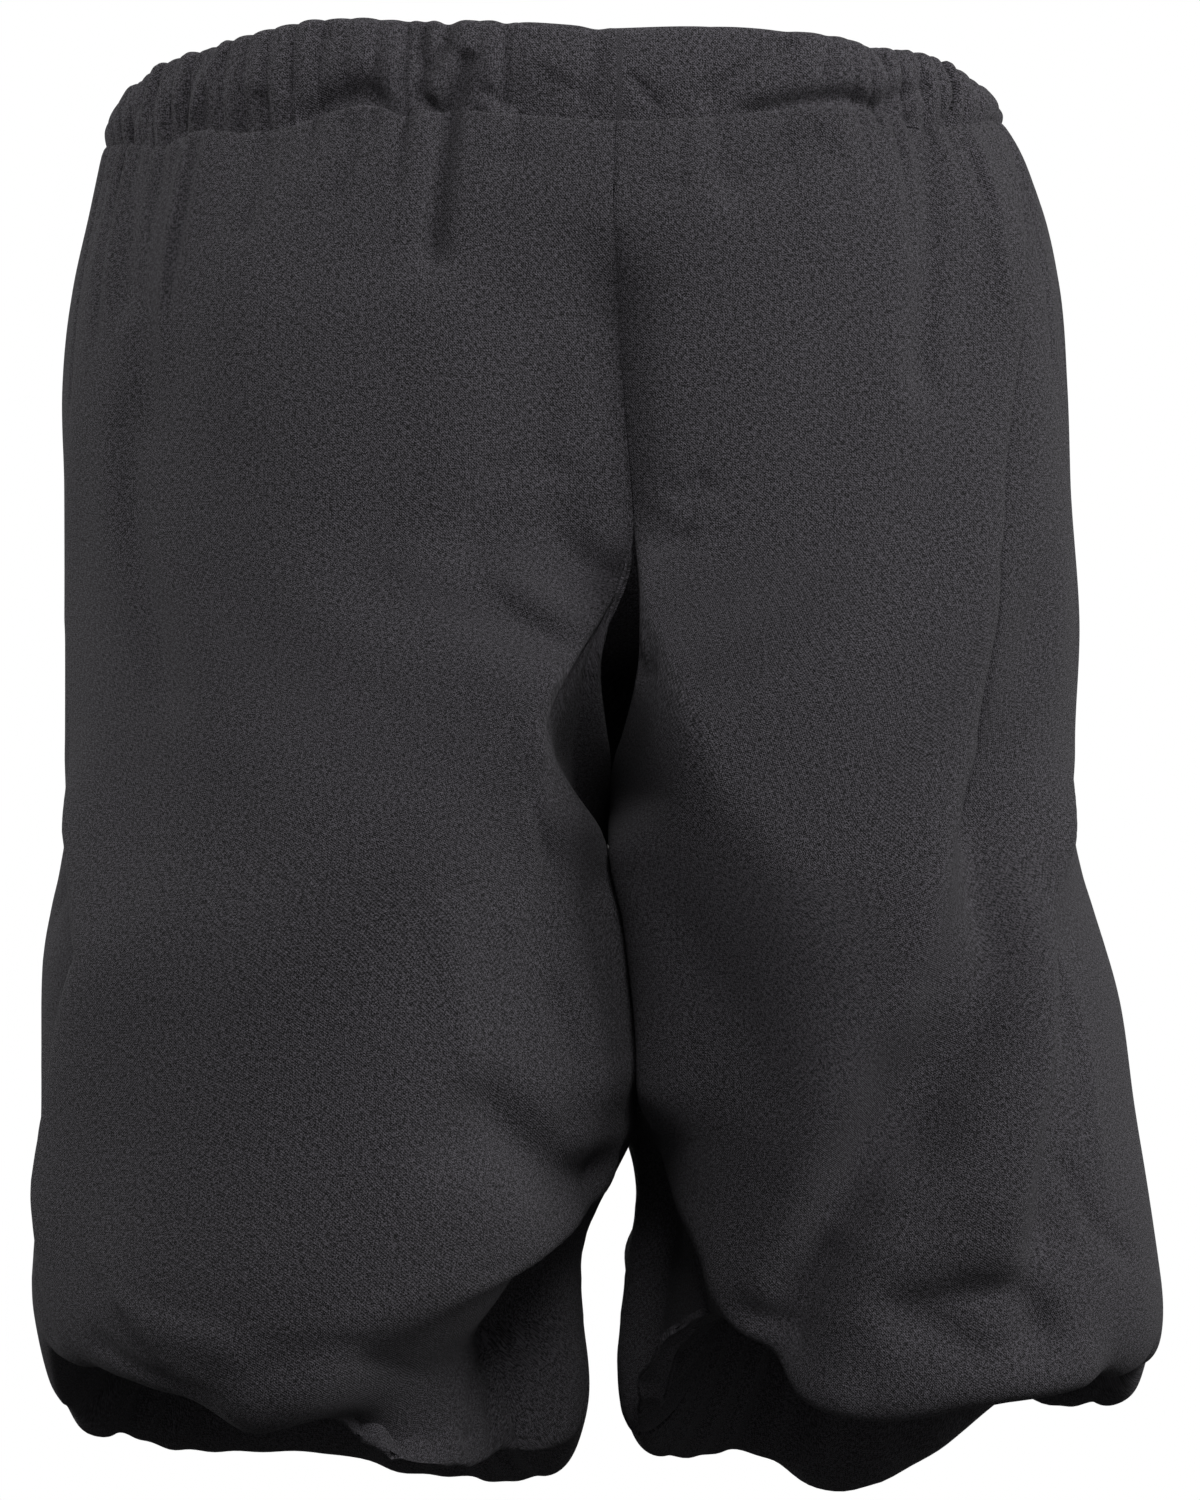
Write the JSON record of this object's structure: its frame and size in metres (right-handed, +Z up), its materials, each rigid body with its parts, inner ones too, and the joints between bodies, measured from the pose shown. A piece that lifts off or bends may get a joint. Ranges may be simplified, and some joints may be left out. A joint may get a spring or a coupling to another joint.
{
  "type": "knee breeches",
  "caption": "Loose woven-cloth knee breeches, worn on a hidden figure: a gathered elastic waistband, straight full legs, and gathered hems over which the cloth blouses.",
  "frame": {"origin": "middle of the waistband, where the wearer's waist holds the garment up", "axes": "+Z up along the wearer; the front faces -Y; the wearer's left leg is on +X"},
  "size_m": [0.4463, 0.2789, 0.5821],
  "materials": {
    "cloth": "matte",
    "casing_cloth": "matte"
  },
  "bodies": {
    "root": {"waistband": "casing_cloth", "right_leg_front": "cloth", "right_leg_back": "cloth", "left_leg_front": "cloth", "left_leg_back": "cloth", "right_hem_casing": "casing_cloth", "left_hem_casing": "casing_cloth"}
  },
  "joints": []
}
